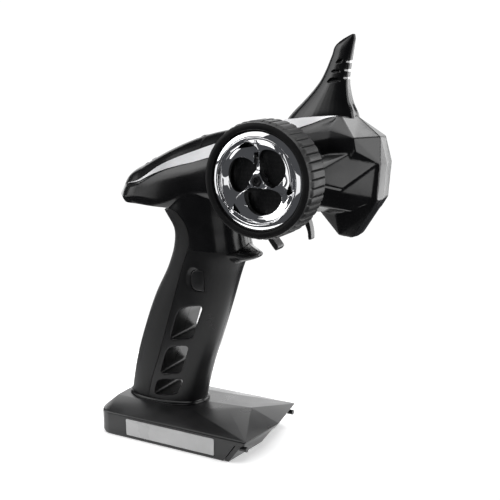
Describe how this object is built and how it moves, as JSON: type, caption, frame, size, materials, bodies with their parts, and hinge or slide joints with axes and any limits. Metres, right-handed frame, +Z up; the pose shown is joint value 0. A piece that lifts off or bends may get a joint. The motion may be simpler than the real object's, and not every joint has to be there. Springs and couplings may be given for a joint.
{
  "type": "radio transmitter controller",
  "caption": "Pistol-grip radio transmitter for model cars and boats: side steering wheel, finger trigger, thumb button, sloped control deck, fin-shaped antenna and weighted base",
  "frame": {"origin": "centre of the flat underside of the base, in line with the grip's parting plane", "axes": "+X forward, the way the trigger pushes and the nose points; -Y the user's right, the wheel's side; +Z up from the base to the antenna fin's tip"},
  "size_m": [0.1717, 0.0975, 0.24],
  "materials": {
    "head_black": "satin to gloss moulded black plastic",
    "grip_black": "fine matte texture",
    "cap_black": "gloss black",
    "strap_rubber": "soft matte rubber",
    "silver_trim": "silver paint",
    "base_black": "satin black",
    "label_white": "plain white, no print",
    "wheel_black": "dark moulding behind the chrome",
    "wheel_chrome": "mirror bright plating",
    "tyre_rubber": "smooth dense rubber foam",
    "steel": "bright steel",
    "screw_black": "blackened steel screws",
    "brass": "turned bush and contacts",
    "board_green": "solder-masked board",
    "chip_black": "moulded package",
    "module_can": "tinned shield",
    "pot_blue": "potentiometer case",
    "battery_wrap": "shrink-wrapped flat cell",
    "wire_black": "insulated wire",
    "wire_red": "insulated wire",
    "inner_black": "moulded brackets",
    "horn_white": "acetal arm",
    "trigger_black": "satin black",
    "control_silver": "silver-coloured caps",
    "dial_black": "satin black",
    "led_red": "red lenses"
  },
  "bodies": {
    "housing": {"head_right": "head_black", "head_left": "head_black", "grip_right": "grip_black", "grip_left": "grip_black", "backstrap": "strap_rubber", "rear_cap": "cap_black", "front_cap": "cap_black", "trim_right": "silver_trim", "trim_left": "silver_trim", "antenna_fin": "head_black", "antenna_rod": "steel", "antenna_cable": "wire_black", "grip_collar": "strap_rubber", "base_shell": "base_black", "base_plate": "base_black", "battery_pack": "battery_wrap", "battery_contacts": "brass", "battery_lead": "wire_red", "label_plate": "label_white", "charge_socket": "module_can", "base_screws": "screw_black", "housing_screws": "screw_black", "main_board": "board_green", "processor": "chip_black", "rf_module": "module_can", "board_screws": "screw_black", "steering_bush": "brass", "steering_spring": "steel", "steering_bracket": "inner_black", "steering_pot": "pot_blue", "trigger_bracket": "inner_black", "trigger_spring": "steel", "trigger_pot": "pot_blue", "button_switch": "chip_black", "button_board": "board_green", "power_switch": "module_can", "status_leds": "led_red", "bind_switch": "chip_black", "reverse_switches": "module_can", "steering_trim_pot": "pot_blue", "throttle_trim_pot": "pot_blue", "rate_pot": "pot_blue", "panel_boards": "board_green"},
    "steering_wheel": {"steering_shaft": "steel", "wheel_core": "wheel_black", "chrome_face": "wheel_chrome", "tyre": "tyre_rubber", "wheel_screw": "screw_black", "steering_horn": "horn_white"},
    "throttle_trigger": {"trigger": "trigger_black", "trigger_shaft": "steel"},
    "thumb_button": {"grip_button": "trigger_black"},
    "bind_cap": {"bind_button": "control_silver"},
    "power_cap": {"power_slider": "control_silver"},
    "steering_reverse_cap": {"steering_reverse": "control_silver"},
    "throttle_reverse_cap": {"throttle_reverse": "control_silver"},
    "steering_trim_knob": {"steering_trim": "dial_black"},
    "throttle_trim_knob": {"throttle_trim": "dial_black"},
    "rate_knob": {"rate_dial": "dial_black"},
    "cover": {"battery_cover": "base_black"}
  },
  "joints": [
    {"name": "steering_turn", "type": "hinge", "parent": "housing", "child": "steering_wheel", "pos_m": [0.0805, -0.054, 0.169], "axis": [0, 1, 0], "range_deg": [-35, 35], "stiffness_Nm_per_rad": 0.06, "deforming": ["steering_spring"]},
    {"name": "trigger_pull", "type": "hinge", "parent": "housing", "child": "throttle_trigger", "pos_m": [0.072, 0, 0.163], "axis": [0, 1, 0], "range_deg": [-10, 18], "stiffness_Nm_per_rad": 0.08, "deforming": ["trigger_spring"]},
    {"name": "thumb_button_press", "type": "slide", "parent": "housing", "child": "thumb_button", "axis": [0, 1, 0], "range_m": [0, 0.0012], "stiffness_N_per_m": 800},
    {"name": "bind_press", "type": "slide", "parent": "housing", "child": "bind_cap", "axis": [0.4131, 0, -0.9107], "range_m": [0, 0.0008], "stiffness_N_per_m": 800},
    {"name": "power_slide", "type": "slide", "parent": "housing", "child": "power_cap", "axis": [0.9107, 0, 0.4131], "range_m": [0, 0.003]},
    {"name": "steering_reverse_slide", "type": "slide", "parent": "housing", "child": "steering_reverse_cap", "axis": [0.9107, 0, 0.4131], "range_m": [0, 0.0026]},
    {"name": "throttle_reverse_slide", "type": "slide", "parent": "housing", "child": "throttle_reverse_cap", "axis": [0.9107, 0, 0.4131], "range_m": [0, 0.0026]},
    {"name": "steering_trim_turn", "type": "hinge", "parent": "housing", "child": "steering_trim_knob", "pos_m": [0.02926, 0, 0.18499], "axis": [-0.2011, 0, 0.9796], "range_deg": [-135, 135]},
    {"name": "throttle_trim_turn", "type": "hinge", "parent": "housing", "child": "throttle_trim_knob", "pos_m": [0.042, 0, 0.1876], "axis": [-0.2011, 0, 0.9796], "range_deg": [-135, 135]},
    {"name": "rate_turn", "type": "hinge", "parent": "housing", "child": "rate_knob", "pos_m": [0.05473, 0, 0.19021], "axis": [-0.2011, 0, 0.9796], "range_deg": [-135, 135]},
    {"name": "cover_slide", "type": "slide", "parent": "housing", "child": "cover", "axis": [1, 0, 0], "range_m": [0, 0.025]}
  ]
}
